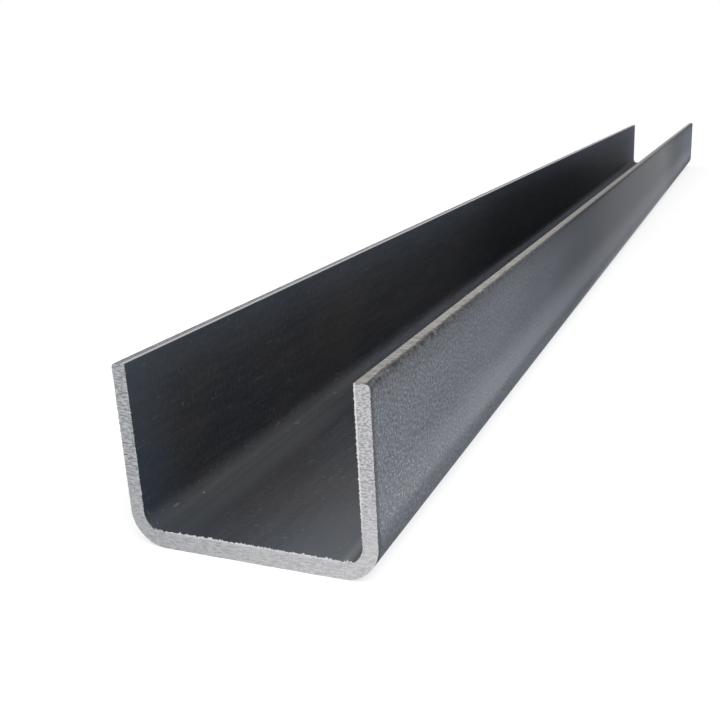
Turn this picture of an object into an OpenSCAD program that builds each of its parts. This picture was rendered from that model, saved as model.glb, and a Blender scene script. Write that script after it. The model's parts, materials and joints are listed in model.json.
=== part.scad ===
// Cold-formed steel channel: one length of sheet bent twice into a U and sawn square.
// It lies on its web with the flanges up. Millimetres, X across the web, Y along the length, Z up.
// The origin is on the underside of the web, at the middle of its width and of the length.

/* [Section] */
// Overall width across the outsides of the two flanges
web_w = 70; // [50:1:200]
// Overall height, from the underside of the web to the flange tips
flange_h = 50; // [25:1:120]
// Thickness of the sheet, the same in the web, the bends and the flanges
sheet_t = 4; // [2:0.5:8]
// Inside radius of the two bends
bend_r = 6; // [2:0.5:12]
// Rounding on the outer edge of each flange tip, rolled over by the shear that slit the sheet
tip_r = 1.2; // [0.2:0.1:1.5]

/* [Stock] */
// Length the channel is sawn to
stock_l = 1000; // [100:10:6000]

/* [Hidden] */
// Facets on the round edges
$fn = 96;
// Outside radius of a bend, round the same centre as its inside
bend_outer_r = bend_r + sheet_t;
// Half of the flat part of the web, between the two bends
web_flat_half = web_w / 2 - bend_outer_r;
// Height of the flat part of a flange, above its bend
flange_flat_h = flange_h - bend_outer_r;

// Flat strip of the web, between the bends
module web_strip() {
    translate([-web_flat_half, 0])
        square([2 * web_flat_half, sheet_t]);
}

// Quarter ring that joins the web to the flange on the +X side
module bend() {
    translate([web_flat_half, bend_outer_r])
        intersection() {
            difference() {
                circle(r = bend_outer_r);
                circle(r = bend_r);
            }
            translate([0, -bend_outer_r])
                square(bend_outer_r);
        }
}

// Flange on the +X side: a flat strip whose tip is square inside and rolled over outside
module flange_strip() {
    translate([web_w / 2 - sheet_t, bend_outer_r]) {
        square([sheet_t, flange_flat_h - tip_r]);
        square([sheet_t - tip_r, flange_flat_h]);
        translate([sheet_t - tip_r, flange_flat_h - tip_r])
            circle(r = tip_r);
    }
}

// One bent side of the section
module side() {
    bend();
    flange_strip();
}

// The whole section, seen from the -Y end
module section() {
    web_strip();
    side();
    mirror([1, 0])
        side();
}

// The channel: one section along the whole length, sawn square at both ends
module channel() {
    color("dimgray")
        translate([0, stock_l / 2, 0])
            rotate([90, 0, 0])
                linear_extrude(height = stock_l)
                    section();
}

channel();
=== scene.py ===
import json
import math

import bpy
from mathutils import Matrix, Vector

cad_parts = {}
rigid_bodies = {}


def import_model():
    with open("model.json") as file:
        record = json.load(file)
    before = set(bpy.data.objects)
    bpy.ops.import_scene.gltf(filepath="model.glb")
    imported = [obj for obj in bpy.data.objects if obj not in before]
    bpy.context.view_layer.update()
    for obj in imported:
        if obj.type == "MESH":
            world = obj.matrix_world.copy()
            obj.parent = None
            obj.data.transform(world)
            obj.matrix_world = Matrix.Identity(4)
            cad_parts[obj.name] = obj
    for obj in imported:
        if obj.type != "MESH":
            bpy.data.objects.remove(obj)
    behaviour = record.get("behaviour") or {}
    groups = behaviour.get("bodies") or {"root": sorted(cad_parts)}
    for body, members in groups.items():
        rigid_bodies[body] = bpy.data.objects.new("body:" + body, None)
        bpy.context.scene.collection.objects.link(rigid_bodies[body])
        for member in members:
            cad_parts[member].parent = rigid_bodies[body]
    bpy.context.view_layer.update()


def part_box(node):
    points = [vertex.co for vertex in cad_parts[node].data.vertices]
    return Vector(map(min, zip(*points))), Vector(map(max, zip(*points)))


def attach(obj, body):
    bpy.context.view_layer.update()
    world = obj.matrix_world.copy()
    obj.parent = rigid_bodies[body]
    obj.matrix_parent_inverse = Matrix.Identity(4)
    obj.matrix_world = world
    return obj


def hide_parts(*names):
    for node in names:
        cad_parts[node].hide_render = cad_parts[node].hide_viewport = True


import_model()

# The channel is one strip of hot-rolled steel sheet, still in its blue-grey mill scale.
# It is bent twice into a U of one thickness all through, and sawn square to length, so it
# has two bright sawn ends and, along the flange tips, the two edges that the shear left.
mm = 0.001
channel_low, channel_high = (Vector(corner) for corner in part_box("channel"))
web_w = channel_high.x - channel_low.x
stock_l = channel_high.y - channel_low.y
flange_h = channel_high.z - channel_low.z
sheet_t = 4 * mm
bend_r = 6 * mm
tip_r = 1.2 * mm
bend_outer_r = bend_r + sheet_t
web_flat_half = web_w / 2 - bend_outer_r
end_y = stock_l / 2
hair = 0.01 * mm
outer_scale_slot, inner_scale_slot, sawn_slot, sheared_slot = range(4)


def select_where(test, parts="VERT"):
    """Select, in edit mode, the vertices or faces that pass the test."""
    bpy.ops.mesh.select_mode(type=parts)
    bpy.ops.mesh.select_all(action="DESELECT")
    bpy.ops.object.mode_set(mode="OBJECT")
    mesh = bpy.context.object.data
    for part in (mesh.vertices if parts == "VERT" else mesh.polygons):
        part.select = test(part)
    bpy.ops.object.mode_set(mode="EDIT")


# The strip starts as the flat underside of the web.
bpy.ops.object.select_all(action="DESELECT")
bpy.ops.mesh.primitive_plane_add(size=1)
channel = bpy.context.object
channel.name = "bent_channel"
bpy.ops.object.mode_set(mode="EDIT")
bpy.ops.transform.resize(value=(2 * web_flat_half, stock_l, 1))

# Each long edge is swept round its bend, then drawn up into a flange.
bend_steps = 24
for side in (1, -1):
    select_where(lambda v: abs(v.co.x - side * web_flat_half) < hair and v.co.z < hair)
    bpy.ops.mesh.spin(steps=bend_steps, angle=side * math.pi / 2, axis=(0, 1, 0),
                      center=(side * web_flat_half, 0, bend_outer_r))
    select_where(lambda v: abs(v.co.x - side * web_w / 2) < hair)
    bpy.ops.mesh.extrude_region_move(
        TRANSFORM_OT_translate={"value": (0, 0, flange_h - bend_outer_r)})
bpy.ops.mesh.select_all(action="SELECT")
bpy.ops.mesh.remove_doubles(threshold=hair / 10)
bpy.ops.mesh.normals_make_consistent(inside=False)
bpy.ops.object.mode_set(mode="OBJECT")

# The sheet gets its thickness on the inside of the U.
for finish in ("outer_scale", "inner_scale", "sawn_steel", "sheared_edge"):
    channel.data.materials.append(bpy.data.materials.new(finish))
sheet = channel.modifiers.new("sheet", "SOLIDIFY")
sheet.thickness = sheet_t
sheet.offset = -1
sheet.use_even_offset = True
sheet.material_offset = inner_scale_slot
sheet.material_offset_rim = sawn_slot
bpy.ops.object.modifier_apply(modifier="sheet")

# The shear has rolled over the outer corner of each flange tip. The round keeps its scale,
# and the flat beside it is the sheared edge.
tip_steps = 5
upright, level = 0.1, 0.95
bpy.ops.object.mode_set(mode="EDIT")
select_where(lambda v: v.co.z > flange_h - hair and abs(v.co.x) > web_w / 2 - hair)
bpy.ops.mesh.bevel(offset=tip_r, segments=tip_steps, affect="EDGES")
for slot, least, most in ((outer_scale_slot, upright, level), (sheared_slot, level, math.inf)):
    select_where(lambda f: f.center.z > flange_h - 2 * tip_r and least < f.normal.z < most, "FACE")
    channel.active_material_index = slot
    bpy.ops.object.material_slot_assign()

# Both ends are cut into a fine grid, in which the saw leaves its marks.
saw_zone = 0.7 * mm
saw_step = 0.25 * mm
cut_gap = 0.05 * mm
for depth in (saw_zone, 2 * saw_zone):
    for cut_y in (depth - end_y, end_y - depth):
        bpy.ops.mesh.select_all(action="SELECT")
        bpy.ops.mesh.bisect(plane_co=(0, cut_y, 0), plane_no=(0, 1, 0))
for row in range(1, round(flange_h / saw_step)):
    bpy.ops.mesh.select_all(action="SELECT")
    bpy.ops.mesh.bisect(plane_co=(0, 0, row * saw_step), plane_no=(0, 0, 1), threshold=cut_gap)
for column in range(1, round(web_w / saw_step)):
    bpy.ops.mesh.select_all(action="SELECT")
    bpy.ops.mesh.bisect(plane_co=(column * saw_step - web_w / 2, 0, 0), plane_no=(1, 0, 0),
                        threshold=cut_gap)

# A shallow line runs along each tip, where the shear stopped cutting and the sheet broke.
break_x = web_w / 2 - 2.5 * mm
break_depth = 0.12 * mm
select_where(lambda v: v.co.z > flange_h - hair and abs(abs(v.co.x) - break_x) < hair)
bpy.ops.transform.translate(value=(0, 0, -break_depth))

# The blade ran level across the channel: its teeth leave low ridges, a little tilted,
# and the saw sinks them into the end, never out past it.
tooth_run, tooth_pitch, tooth_depth = 25 * mm, 1.7 * mm, 0.09 * mm
bpy.ops.object.mode_set(mode="OBJECT")
bpy.ops.object.empty_add(location=(0, 0, 0))
blade_path = bpy.context.object
blade_path.scale = (tooth_run, 1, tooth_pitch)
bpy.context.view_layer.objects.active = channel
channel.select_set(True)
tooth_marks = bpy.data.textures.new("tooth_marks", "WOOD")
tooth_marks.wood_type = "BANDNOISE"
tooth_marks.noise_scale = 0.6
tooth_marks.turbulence = 4
for end, into in ((-end_y, 1), (end_y, -1)):
    bpy.ops.object.mode_set(mode="EDIT")
    select_where(lambda v: abs(v.co.y - end) < hair)
    bpy.ops.object.vertex_group_assign_new()
    bpy.ops.object.mode_set(mode="OBJECT")
    marks = channel.modifiers.new("saw", "DISPLACE")
    marks.texture = tooth_marks
    marks.texture_coords = "OBJECT"
    marks.texture_coords_object = blade_path
    marks.vertex_group = channel.vertex_groups[-1].name
    marks.direction = "Y"
    marks.mid_level = 0
    marks.strength = into * tooth_depth
    bpy.ops.object.modifier_apply(modifier="saw")
bpy.data.objects.remove(blade_path)


def bend_reach(place):
    """How far a place is from the nearest bend's centre line, or from the line carried on."""
    return math.hypot(max(abs(place.x) - web_flat_half, 0), max(bend_outer_r - place.z, 0))


def on_sawn_end(v):
    """Whether a vertex lies on either sawn end, however deep a tooth has marked it."""
    return abs(v.co.y) > end_y - 0.2 * mm


# The saw leaves a burr on the inside of the web, where its teeth break out. The burr
# thins out into the bends, and its top is ragged.
burr_step = 0.2 * mm
burr_ragged = 0.7 * mm
spared = 0.6
bpy.ops.object.mode_set(mode="EDIT")
for reach in (0, 2 * mm, 3 * mm):
    select_where(lambda v: on_sawn_end(v) and bend_reach(v.co) < bend_r + 0.03 * mm
                 and abs(v.co.x) < web_flat_half + reach and v.co.z < bend_outer_r)
    bpy.ops.transform.translate(value=(0, 0, burr_step))
bpy.ops.object.vertex_group_assign_new()
for seed in (1, 2):
    bpy.ops.object.vertex_group_select()
    bpy.ops.mesh.select_random(ratio=spared, seed=seed, action="DESELECT")
    bpy.ops.transform.translate(value=(0, 0, burr_step))
bpy.ops.object.mode_set(mode="OBJECT")
broken_steel = bpy.data.textures.new("broken_steel", "CLOUDS")
broken_steel.noise_scale = 0.8 * mm
broken_steel.noise_type = "HARD_NOISE"
broken_steel.intensity = 1.2
burr = channel.modifiers.new("burr", "DISPLACE")
burr.texture = broken_steel
burr.vertex_group = channel.vertex_groups[-1].name
burr.direction = "Z"
burr.mid_level = 0
burr.strength = burr_ragged
bpy.ops.object.modifier_apply(modifier="burr")

# Small nicks run down both corners of each flange's sawn end.
bpy.ops.object.mode_set(mode="EDIT")
for side in (1, -1):
    for seed, nick_depth in ((4, 0.1 * mm), (5, 0.12 * mm)):
        select_where(lambda v: on_sawn_end(v) and bend_outer_r < v.co.z < flange_h - 2 * tip_r
                     and bend_reach(v.co) > bend_outer_r - hair and v.co.x * side > 0)
        bpy.ops.mesh.select_random(ratio=spared, seed=seed, action="DESELECT")
        bpy.ops.transform.translate(value=(-side * nick_depth, 0, 0))
        select_where(lambda v: on_sawn_end(v) and bend_outer_r < v.co.z < flange_h - tip_r
                     and bend_reach(v.co) < bend_r + hair and v.co.x * side > 0)
        bpy.ops.mesh.select_random(ratio=spared, seed=seed + 2, action="DESELECT")
        bpy.ops.transform.translate(value=(-side * nick_depth, 0, 0))
bpy.ops.object.mode_set(mode="OBJECT")
bpy.ops.object.shade_smooth_by_angle(angle=math.radians(35))


class Socket:
    """A node's output that takes ordinary arithmetic, where each step adds a Math node."""

    def __init__(self, tree, output=None):
        self.tree = tree
        self.output = output

    def node(self, kind, settings, inputs, result=0):
        """Add a node with these settings, and with values or links in its sockets."""
        made = self.tree.nodes.new("ShaderNode" + kind)
        for name, value in settings.items():
            setattr(made, name, value)
        for name, value in inputs.items():
            if isinstance(value, Socket):
                self.tree.links.new(value.output, made.inputs[name])
            else:
                made.inputs[name].default_value = value
        return Socket(self.tree, made.outputs[result])

    def math(self, operation, first, second=0.0):
        """Add a Math node."""
        return self.node("Math", {"operation": operation}, {0: first, 1: second})

    def __add__(self, other):
        return self.math("ADD", self, other)

    def __radd__(self, other):
        return self.math("ADD", other, self)

    def __sub__(self, other):
        return self.math("SUBTRACT", self, other)

    def __rsub__(self, other):
        return self.math("SUBTRACT", other, self)

    def __mul__(self, other):
        return self.math("MULTIPLY", self, other)

    def __rmul__(self, other):
        return self.math("MULTIPLY", other, self)

    def __neg__(self):
        return self.math("MULTIPLY", self, -1)

    def __abs__(self):
        return self.math("ABSOLUTE", self)

    def rise(self, low, high):
        """0 below low, 1 above high, and a soft slope between."""
        return self.node("MapRange", {"interpolation_type": "SMOOTHSTEP"},
                         {"Value": self, "From Min": low, "From Max": high})

    def stretched(self, across, along, up):
        """This place, scaled so that a pattern on it is longest where the number is least."""
        return self.node("VectorMath", {"operation": "MULTIPLY"}, {0: self, 1: (across, along, up)})

    def noise(self, size, detail=2.0, roughness=0.5):
        """A cloudy pattern on this place, with blots of about the given size."""
        return self.node("TexNoise", {}, {"Vector": self, "Scale": 1 / size, "Detail": detail,
                                          "Roughness": roughness})

    def tint(self, first, second):
        """The first colour where this is 0, the second where it is 1."""
        ends = [colour if isinstance(colour, Socket) else (*colour, 1) for colour in (first, second)]
        return self.node("Mix", {"data_type": "RGBA"}, {0: self, 6: ends[0], 7: ends[1]}, 2)

    def bump(self, strength, distance):
        """A normal for a surface that this raises and sinks."""
        return self.node("Bump", {}, {"Strength": strength, "Distance": distance, "Height": self})


def finish_of(slot):
    """Start a material afresh: its shader's node, and the place on the object."""
    material = channel.data.materials[slot]
    material.use_nodes = True
    start = Socket(material.node_tree)
    place = start.node("TexCoord", {}, {}, "Object")
    parts = [start.node("SeparateXYZ", {}, {0: place}, axis) for axis in range(3)]
    return material.node_tree.nodes["Principled BSDF"], place, parts


def feed(shader, name, value):
    """Link a value to one of a shader's sockets."""
    value.tree.links.new(value.output, shader.inputs[name])


# Outside, rolls and handling have rubbed the scale paler, in specks about a millimetre wide.
# A scuffed band with bright flecks runs just above each bend. The flanges darken towards the
# tips, whose round edge is smudged brown, and a thin dark line borders the sawn ends.
scale_dark, scale_pale = (0.155, 0.166, 0.188), (0.33, 0.342, 0.37)
painted_far_shade = (0.1, 0.103, 0.102)
scuff_grey = (0.335, 0.347, 0.373)
fleck_white = (0.6, 0.625, 0.65)
shade_grey = (0.095, 0.096, 0.09)
smudge_brown = (0.06, 0.056, 0.053)
border_dark = (0.07, 0.075, 0.085)
shader, place, (x, y, z) = finish_of(outer_scale_slot)
specks = place.noise(0.9 * mm, 3, 0.6)
clouds = place.stretched(1, 0.25, 1).noise(14 * mm, 3)
scuff_edge = z + place.stretched(1, 0.15, 1).noise(5 * mm, 3) * (4 * mm)
scuff = scuff_edge.rise(13 * mm, 17 * mm) * (1 - scuff_edge.rise(18 * mm, 31 * mm))
inset = end_y - abs(y)
near_end = 1 - inset.rise(0, 160 * mm)
far_in = inset.rise(90 * mm, 360 * mm)
rubbed = (specks - 0.5) * 2.2 + 0.4 * clouds + 0.2 * scuff
blue_grey = rubbed.rise(-0.3, 1.0).tint(scale_dark, scale_pale)
# Painted shade: the upper flanges darken towards the far end, away from the lamp.
upper_far_shade = (z.rise(8 * mm, 32 * mm) * far_in * 0.85).tint(blue_grey, painted_far_shade)
scuffed = (scuff * (0.15 + 0.4 * inset.rise(0, 90 * mm))).tint(upper_far_shade, scuff_grey)
fleck_share = (0.12 + 0.3 * scuff + 0.38 * near_end) * z.rise(10 * mm, 14 * mm)
flecks = place.noise(0.7 * mm, 2, 0.6).rise(0.56, 0.66) * fleck_share
flecked = flecks.tint(scuffed, fleck_white)
tip_shade = z.rise(flange_h - 9 * mm, flange_h - mm)
shaded = (tip_shade * (0.28 + 0.14 * far_in)).tint(flecked, shade_grey)
tip_edge = z.rise(flange_h - 2.5 * mm, flange_h - 0.3 * mm)
smears = place.stretched(1, 0.5, 1).noise(1.2 * mm, 3, 0.6).rise(0.3, 0.65)
smudged = (smears * tip_edge * (0.3 + 0.5 * near_end)).tint(shaded, smudge_brown)
border = 1 - inset.rise(0.4 * mm, 2.5 * mm)
feed(shader, "Base Color", (border * 0.55).tint(smudged, border_dark))
feed(shader, "Roughness", 0.42 + 0.16 * specks - 0.25 * far_in)
shader.inputs["Metallic"].default_value = 0.92
shader.inputs["Specular Tint"].default_value = (0.22, 0.23, 0.25, 1)
feed(shader, "Normal", place.noise(0.7 * mm, 3, 0.6).bump(0.35, 0.06 * mm))

# Inside, the scale is as the mill left it: blue-black and smoother, with brown clouds, fine
# lines along the length and a few pale specks. The saw's heat has blued it at the ends.
# Near the ends, handling has paled the sides of the web, and the right side of the web also
# carries a painted reflection. The left bend carries painted shade, strongest near the ends,
# the right bend a painted glint, and the scale painted shade towards the far end.
blue_black, brown_black = (0.09, 0.098, 0.115), (0.115, 0.109, 0.112)
inner_far_shade = (0.065, 0.07, 0.08)
handled_and_sheen_grey = (0.2, 0.208, 0.218)
heat_blue = (0.118, 0.152, 0.2)
worn_grey = (0.18, 0.186, 0.195)
left_bend_shade = (0.05, 0.052, 0.056)
scratch_grey = (0.25, 0.255, 0.26)
dust_and_glint_grey = (0.36, 0.36, 0.36)
shader, place, (x, y, z) = finish_of(inner_scale_slot)
clouds = place.stretched(1, 0.5, 1).noise(22 * mm, 2)
mottle = place.noise(1.3 * mm, 3, 0.6)
lines = place.stretched(1, 0.08, 1).noise(1.6 * mm, 3)
dust = place.noise(1.3 * mm, 2).rise(0.69, 0.76)
dashes = place.stretched(1, 0.12, 1).noise(1.1 * mm, 1).rise(0.72, 0.77)
inset = end_y - abs(y)
far_in = inset.rise(200 * mm, 420 * mm)
scale_colour = clouds.rise(0.35, 0.7).tint(blue_black, brown_black)
# Painted shade: the inside scale darkens towards the far end, away from the lamp.
darkened = (far_in * 0.7).tint(scale_colour, inner_far_shade)
web = 1 - z.rise(sheet_t, sheet_t + 2 * mm)
# Wear and painted reflection: near the end the web is paler, at the left from handling, at the right
# partly from handling and partly a painted reflection.
right_pale = x.rise(-6 * mm, 26 * mm) * (1 - inset.rise(0, 90 * mm))
left_pale = (-x).rise(15 * mm, 23 * mm) * (1 - inset.rise(60 * mm, 160 * mm))
handled_and_sheen = (web * (right_pale + left_pale)).tint(darkened, handled_and_sheen_grey)
blued = 1 - inset.rise(5 * mm, 24 * mm) * (1 - 0.7 * z.rise(flange_h - 16 * mm, flange_h))
heated = (blued * (0.8 - 0.5 * web)).tint(handled_and_sheen, heat_blue)
worn = mottle * 0.35 + lines * 0.25
mottled = (worn.rise(0.23, 0.37) * 0.42).tint(heated, worn_grey)
# Painted shade: the lower left bend is darkened, most near the end, where its sheen would show.
left_bend = ((-x).rise(web_flat_half, web_flat_half + 2.5 * mm)
             * (1 - z.rise(sheet_t + 1.5 * mm, sheet_t + 0.7 * bend_r)))
left_bend_shaded = (left_bend * (0.65 - 0.4 * inset.rise(90 * mm, 160 * mm))).tint(mottled, left_bend_shade)
# Painted glint: the lower right bend is paled along its length.
right_bend = (x.rise(web_flat_half - 2 * mm, web_flat_half + 2 * mm)
              * (1 - z.rise(sheet_t, sheet_t + bend_r)))
glinted = (right_bend * 0.7).tint(left_bend_shaded, dust_and_glint_grey)
scratched = (dashes * 0.5).tint(glinted, scratch_grey)
feed(shader, "Base Color", (dust * 0.6).tint(scratched, dust_and_glint_grey))
feed(shader, "Roughness", 0.5 + 0.06 * clouds - 0.14 * far_in)
shader.inputs["Metallic"].default_value = 0.92
shader.inputs["Specular Tint"].default_value = (0.32, 0.33, 0.35, 1)
feed(shader, "Normal", place.noise(0.9 * mm, 3, 0.6).bump(0.1, 0.04 * mm))

# The sawn ends are bare steel, pale grey: fine level scratches and grit across the web, short
# level tooth cuts up the flanges. Painted light makes them lighter towards the right, and the
# burr's top and the right flange's inner edge carry a painted highlight.
highlight_steel = (0.74, 0.74, 0.75)
shader, place, (x, y, z) = finish_of(sawn_slot)
up_flange = z.rise(9 * mm, 24 * mm)
rightward = x.rise(-0.6 * web_w, 0.5 * web_w)
scratches = place.stretched(0.2, 1, 1).noise(0.4 * mm, 3, 0.6)
tooth_cuts = place.stretched(0.45, 1, 1).noise(0.4 * mm, 3, 0.6)
grit = place.noise(0.35 * mm, 2, 0.6)
pits = tooth_cuts * up_flange + grit * (1 - up_flange)
pit_share = 0.4 + 0.4 * up_flange * rightward
cut = (scratches * (1 - pit_share) + pits * pit_share).rise(0.38, 0.58)
# Painted light: each tone of the sawn end is lighter towards the right, where the lamp falls.
web_dark = rightward.tint((0.27, 0.275, 0.29), (0.4, 0.4, 0.41))
web_pale = rightward.tint((0.44, 0.445, 0.46), (0.58, 0.58, 0.59))
flange_dark = rightward.tint((0.165, 0.175, 0.19), (0.28, 0.28, 0.29))
flange_pale = rightward.tint((0.46, 0.47, 0.49), (0.56, 0.56, 0.575))
sawn = cut.tint(up_flange.tint(web_dark, flange_dark), up_flange.tint(web_pale, flange_pale))
inner_edge = 1 - (abs(x) - web_w / 2 + sheet_t).rise(0.2 * mm, 0.5 * mm)
burr_top = (z.rise(sheet_t + 0.3 * mm, sheet_t + mm)
            * (1 - abs(x).rise(web_flat_half, web_flat_half + 2 * mm)))
# Painted highlight on the burr's top and the right flange's inner edge.
bright = inner_edge * up_flange * rightward * 0.7 + burr_top * 0.6
feed(shader, "Base Color", bright.tint(sawn, highlight_steel))
feed(shader, "Roughness", 0.38 + 0.2 * scratches)
shader.inputs["Metallic"].default_value = 0.9
feed(shader, "Normal", (scratches + pits).bump(0.4, 0.05 * mm))

# The sheared edges are drawn across in fine lines, and dark and torn at the outer corner.
# The right one is warm grey, and the left one paler, with a dark line where the sheet broke.
torn_dark = (0.07, 0.066, 0.063)
warm_dark, warm_pale = (0.19, 0.182, 0.168), (0.4, 0.39, 0.37)
warm_far_shade = (0.13, 0.128, 0.118)
cool_dark, cool_pale = (0.27, 0.28, 0.295), (0.44, 0.45, 0.46)
break_dark = (0.1, 0.1, 0.105)
shader, place, (x, y, z) = finish_of(sheared_slot)
drawn = place.stretched(0.15, 1, 0.3).noise(0.8 * mm, 2, 0.6)
torn = place.stretched(1, 0.6, 1).noise(1.2 * mm, 3, 0.7)
from_outside = web_w / 2 - abs(x)
inward = (from_outside + (torn - 0.5) * (3 * mm)).rise(1.1 * mm, 1.9 * mm)
far_in = (end_y - abs(y)).rise(80 * mm, 330 * mm)
# Painted shade: the right sheared edge darkens towards the far end, away from the lamp.
right_bare = (far_in * 0.7).tint(drawn.rise(0.3, 0.7).tint(warm_dark, warm_pale), warm_far_shade)
left_bare = from_outside.rise(2.4 * mm, 3 * mm).tint(cool_dark, cool_pale)
break_line = 1 - abs(from_outside - 2.4 * mm).rise(0.1 * mm, 0.5 * mm)
left_lined = (break_line * torn.rise(0.3, 0.6) * 0.7).tint(left_bare, break_dark)
both_bare = x.rise(-mm, mm).tint(left_lined, right_bare)
feed(shader, "Base Color", inward.tint(torn_dark, both_bare))
feed(shader, "Roughness", 0.4 + 0.2 * drawn)
shader.inputs["Metallic"].default_value = 0.9
feed(shader, "Normal", drawn.bump(0.35, 0.05 * mm))

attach(channel, "root")
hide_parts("channel")

# The floor is a wide pale sheet that the channel lies on. It shows white, and keeps the
# channel's shadow.
floor_w = 12
floor_grey = (0.6, 0.6, 0.6, 1)
floor_glow = 0.62
bpy.ops.object.select_all(action="DESELECT")
bpy.ops.mesh.primitive_plane_add(size=floor_w)
floor = bpy.context.object
floor.name = "pale_floor"
pale = bpy.data.materials.new("pale_floor")
pale.use_nodes = True
floor.data.materials.append(pale)
shader = pale.node_tree.nodes["Principled BSDF"]
shader.inputs["Base Color"].default_value = floor_grey
shader.inputs["Roughness"].default_value = 1
shader.inputs["Specular IOR Level"].default_value = 0


def seen_or_mirrored(tree):
    """1 for what the camera sees, straight, mirrored or through glass, and 0 for its light."""
    start = Socket(tree)
    ways = [start.node("LightPath", {}, {}, way)
            for way in ("Is Camera Ray", "Is Glossy Ray", "Is Transmission Ray")]
    return start.math("MAXIMUM", ways[0], start.math("MAXIMUM", ways[1], ways[2]))


feed(shader, "Emission Color", seen_or_mirrored(pale.node_tree).tint((0, 0, 0), (1, 1, 1)))
shader.inputs["Emission Strength"].default_value = floor_glow

# Soft studio light: a white room all round, and one wide lamp above the near right side.
room_light = 0.65
lamp_place = Vector((0.7, -1.1, 1.0))
lamp_target = Vector((0, -0.4, 0.02))
lamp_w, lamp_power = 0.9, 8
world = bpy.data.worlds.new("white_room")
bpy.context.scene.world = world
world.use_nodes = True
background = world.node_tree.nodes["Background"]
background.inputs["Color"].default_value = (1, 1, 1, 1)
feed(background, "Strength", room_light + (1 - room_light) * seen_or_mirrored(world.node_tree))
bpy.ops.object.light_add(type="AREA", location=lamp_place)
lamp = bpy.context.object
lamp.name = "wide_lamp"
lamp.data.size = lamp_w
lamp.data.energy = lamp_power
lamp.rotation_euler = (lamp_target - lamp_place).to_track_quat("-Z", "Y").to_euler()

# The camera stands to the right of the near end and looks along the channel.
camera_place = (0.10985, -0.6721, 0.11255)
camera_turn, camera_dip, camera_roll = (math.radians(angle) for angle in (24.07, 16.83, -3.19))
camera_data = bpy.data.cameras.new("camera")
camera_data.lens = 45.17
camera_data.clip_start = 0.01
camera = bpy.data.objects.new("camera", camera_data)
bpy.context.scene.collection.objects.link(camera)
camera.matrix_world = (Matrix.Translation(camera_place) @ Matrix.Rotation(camera_turn, 4, "Z")
                       @ Matrix.Rotation(math.pi / 2 - camera_dip, 4, "X")
                       @ Matrix.Rotation(camera_roll, 4, "Z"))
bpy.context.scene.camera = camera
bpy.context.scene.view_settings.view_transform = "Standard"
